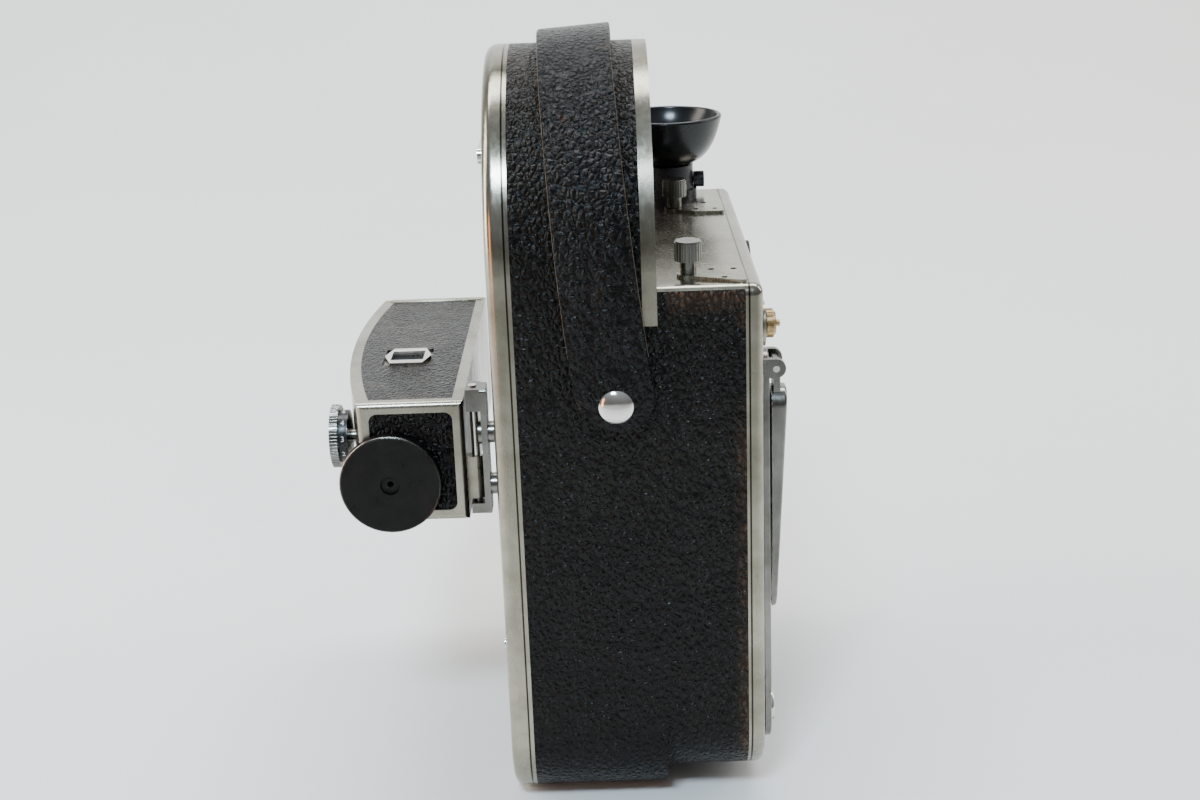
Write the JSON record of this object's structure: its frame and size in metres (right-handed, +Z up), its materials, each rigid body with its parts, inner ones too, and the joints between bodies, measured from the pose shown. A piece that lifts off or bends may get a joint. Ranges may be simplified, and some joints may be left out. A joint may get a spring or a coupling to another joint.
{
  "type": "cine camera",
  "caption": "Spring-wound 16 mm cine camera with domed film chamber, lens turret, folding winding crank, side finder on a lift-off door, top focuser and leather carrying strap.",
  "frame": {"origin": "mouth of the tripod bush, on the base plane", "axes": "+Z up towards the dome, +Y forward towards the lens, +X towards the winding side"},
  "size_m": [0.1309, 0.1784, 0.2205],
  "materials": {
    "satin_nickel": "satin",
    "bright_nickel": "polished",
    "black_leather": "matte",
    "strap_leather": "satin",
    "black_enamel": "gloss",
    "eyecup_black": "gloss",
    "aluminium": "satin",
    "steel": "brushed",
    "spring_steel": "brushed",
    "brass": "satin",
    "glass": "polished"
  },
  "bodies": {
    "root": {"chamber_casing": "satin_nickel", "body_leather": "black_leather", "mechanism_housing": "satin_nickel", "mechanism_cover": "satin_nickel", "cover_leather": "black_leather", "case_screws": "bright_nickel", "bearing_plate": "aluminium", "base_plate": "satin_nickel", "tripod_bush": "steel", "front_block": "satin_nickel", "gate_plate": "black_enamel", "spool_spindles": "steel", "dial_plates": "satin_nickel", "focuser_stem": "black_enamel", "focuser_prism": "glass", "accessory_shoes": "satin_nickel", "carry_strap": "strap_leather", "strap_stud": "bright_nickel"},
    "lid": {"lid_shell": "satin_nickel", "lid_leather": "black_leather", "finder_bracket": "satin_nickel", "finder_hinge_pin": "bright_nickel"},
    "upper_latch": {"upper_latch": "bright_nickel"},
    "lower_latch": {"lower_latch": "bright_nickel"},
    "finder": {"finder_housing": "satin_nickel", "finder_leather": "black_leather", "finder_window": "bright_nickel", "finder_glass": "glass"},
    "finder_knob": {"finder_knob": "bright_nickel"},
    "eyepiece": {"finder_eyepiece": "black_enamel"},
    "crank": {"crank_arbor": "steel", "crank_arm": "satin_nickel", "crank_fasteners": "bright_nickel"},
    "crank_handle": {"crank_handle": "satin_nickel"},
    "winding_wheel": {"winding_wheel": "brass"},
    "barrel": {"spring_barrel": "brass", "mainspring": "spring_steel"},
    "train_wheel": {"train_wheel": "brass"},
    "sprocket_upper": {"sprocket_upper": "steel"},
    "sprocket_lower": {"sprocket_lower": "steel"},
    "shutter": {"shutter": "black_enamel"},
    "shutter_drive": {"shutter_drive": "brass"},
    "claw": {"claw": "steel"},
    "pressure_plate": {"pressure_plate": "black_enamel"},
    "feed_spool": {"feed_spool": "aluminium"},
    "takeup_spool": {"takeup_spool": "aluminium"},
    "counter_knob": {"counter_knob": "brass"},
    "speed_dial": {"speed_dial": "black_enamel"},
    "release_button": {"release_button": "steel"},
    "turret": {"turret": "satin_nickel", "turret_pivot": "bright_nickel", "lens_barrel": "black_enamel", "lens_glass": "glass"},
    "focus_ring": {"focus_ring": "black_enamel"},
    "iris_ring": {"iris_ring": "black_enamel"},
    "eyecup": {"focuser_eyecup": "eyecup_black", "focuser_lens": "glass"},
    "focuser_clamp": {"focuser_clamp": "black_enamel"},
    "rear_shoe_screw": {"rear_shoe_screw": "bright_nickel"},
    "front_shoe_screw": {"front_shoe_screw": "bright_nickel"}
  },
  "joints": [
    {"name": "lid_off", "type": "slide", "parent": "root", "child": "lid", "axis": [-1, 0, 0], "range_m": [0, 0.06]},
    {"name": "upper_latch_turn", "type": "hinge", "parent": "lid", "child": "upper_latch", "pos_m": [-0.054, -0.0105, 0.186], "axis": [1, 0, 0], "range_deg": [0, 90]},
    {"name": "lower_latch_turn", "type": "hinge", "parent": "lid", "child": "lower_latch", "pos_m": [-0.054, -0.0105, 0.032], "axis": [1, 0, 0], "range_deg": [0, 90]},
    {"name": "finder_parallax", "type": "hinge", "parent": "lid", "child": "finder", "pos_m": [-0.0616, -0.034, 0.1], "axis": [0, 0, -1], "range_deg": [0, 2]},
    {"name": "finder_knob_turn", "type": "hinge", "parent": "finder", "child": "finder_knob", "pos_m": [-0.1, -0.029, 0.1065], "axis": [1, 0, 0], "range_deg": [0, 200]},
    {"name": "eyepiece_focus", "type": "slide", "parent": "finder", "child": "eyepiece", "axis": [0, -1, 0], "range_m": [0, 0.004]},
    {"name": "crank_turn", "type": "hinge", "parent": "root", "child": "crank", "pos_m": [0.02, -0.05, 0.025], "axis": [1, 0, 0], "continuous": true},
    {"name": "crank_fold", "type": "hinge", "parent": "crank", "child": "crank_handle", "pos_m": [0.024, -0.05, 0.1313], "axis": [0, -1, 0], "range_deg": [0, 90]},
    {"name": "winding_turn", "type": "hinge", "parent": "root", "child": "winding_wheel", "pos_m": [0.009, -0.0147, 0.05603], "axis": [1, 0, 0], "continuous": true},
    {"name": "barrel_turn", "type": "hinge", "parent": "root", "child": "barrel", "pos_m": [0, -0.0147, 0.05603], "axis": [1, 0, 0], "continuous": true},
    {"name": "train_turn", "type": "hinge", "parent": "root", "child": "train_wheel", "pos_m": [0.003, 0.0142, 0.104], "axis": [1, 0, 0], "continuous": true},
    {"name": "sprocket_upper_turn", "type": "hinge", "parent": "root", "child": "sprocket_upper", "pos_m": [-0.022, 0.03469, 0.12], "axis": [1, 0, 0], "continuous": true},
    {"name": "sprocket_lower_turn", "type": "hinge", "parent": "root", "child": "sprocket_lower", "pos_m": [-0.022, 0.03469, 0.088], "axis": [1, 0, 0], "continuous": true},
    {"name": "shutter_turn", "type": "hinge", "parent": "root", "child": "shutter", "pos_m": [-0.022, 0.066, 0.0855], "axis": [0, 1, 0], "continuous": true},
    {"name": "shutter_drive_turn", "type": "hinge", "parent": "root", "child": "shutter_drive", "pos_m": [-0.003, 0.06, 0.0855], "axis": [0, 1, 0], "continuous": true},
    {"name": "claw_stroke", "type": "slide", "parent": "root", "child": "claw", "axis": [0, 0, 1], "range_m": [0, 0.00762]},
    {"name": "pressure_plate_open", "type": "slide", "parent": "root", "child": "pressure_plate", "axis": [0, -1, 0], "range_m": [0, 0.004], "stiffness_N_per_m": 80},
    {"name": "feed_spool_turn", "type": "hinge", "parent": "root", "child": "feed_spool", "pos_m": [-0.022, -0.011, 0.161], "axis": [1, 0, 0], "continuous": true},
    {"name": "takeup_spool_turn", "type": "hinge", "parent": "root", "child": "takeup_spool", "pos_m": [-0.022, -0.01, 0.052], "axis": [1, 0, 0], "continuous": true},
    {"name": "counter_knob_turn", "type": "hinge", "parent": "root", "child": "counter_knob", "pos_m": [0.02, -0.0555, 0.1443], "axis": [1, 0, 0], "continuous": true},
    {"name": "speed_dial_turn", "type": "hinge", "parent": "root", "child": "speed_dial", "pos_m": [0.02, 0.038, 0.136], "axis": [1, 0, 0], "range_deg": [0, 250]},
    {"name": "release_press", "type": "slide", "parent": "root", "child": "release_button", "axis": [0, -1, 0], "range_m": [0, 0.003], "stiffness_N_per_m": 300},
    {"name": "turret_turn", "type": "hinge", "parent": "root", "child": "turret", "pos_m": [-0.01955, 0.075, 0.12435], "axis": [0, 1, 0], "continuous": true},
    {"name": "lens_focus_turn", "type": "hinge", "parent": "turret", "child": "focus_ring", "pos_m": [-0.022, 0.088, 0.104], "axis": [0, 1, 0], "range_deg": [0, 270]},
    {"name": "lens_iris_turn", "type": "hinge", "parent": "turret", "child": "iris_ring", "pos_m": [-0.022, 0.094, 0.104], "axis": [0, 1, 0], "range_deg": [0, 90]},
    {"name": "eyecup_draw", "type": "slide", "parent": "root", "child": "eyecup", "axis": [0, 0, 1], "range_m": [0, 0.005]},
    {"name": "focuser_clamp_turn", "type": "hinge", "parent": "root", "child": "focuser_clamp", "pos_m": [0.008, 0.057, 0.1621], "axis": [1, 0, 0], "continuous": true},
    {"name": "rear_shoe_screw_turn", "type": "hinge", "parent": "root", "child": "rear_shoe_screw", "pos_m": [0.0005, -0.053, 0.1605], "axis": [0, 0, 1], "continuous": true},
    {"name": "front_shoe_screw_turn", "type": "hinge", "parent": "root", "child": "front_shoe_screw", "pos_m": [0.0005, 0.031, 0.1605], "axis": [0, 0, 1], "continuous": true}
  ],
  "couplings": [
    {"joint": "finder_knob_turn", "follows": "finder_parallax", "ratio": 100},
    {"joint": "crank_turn", "follows": "winding_turn", "ratio": -5.7143},
    {"joint": "train_turn", "follows": "barrel_turn", "ratio": -2.5},
    {"joint": "sprocket_upper_turn", "follows": "barrel_turn", "ratio": 4},
    {"joint": "sprocket_lower_turn", "follows": "barrel_turn", "ratio": 4},
    {"joint": "shutter_drive_turn", "follows": "shutter_turn", "ratio": -1.7143}
  ]
}
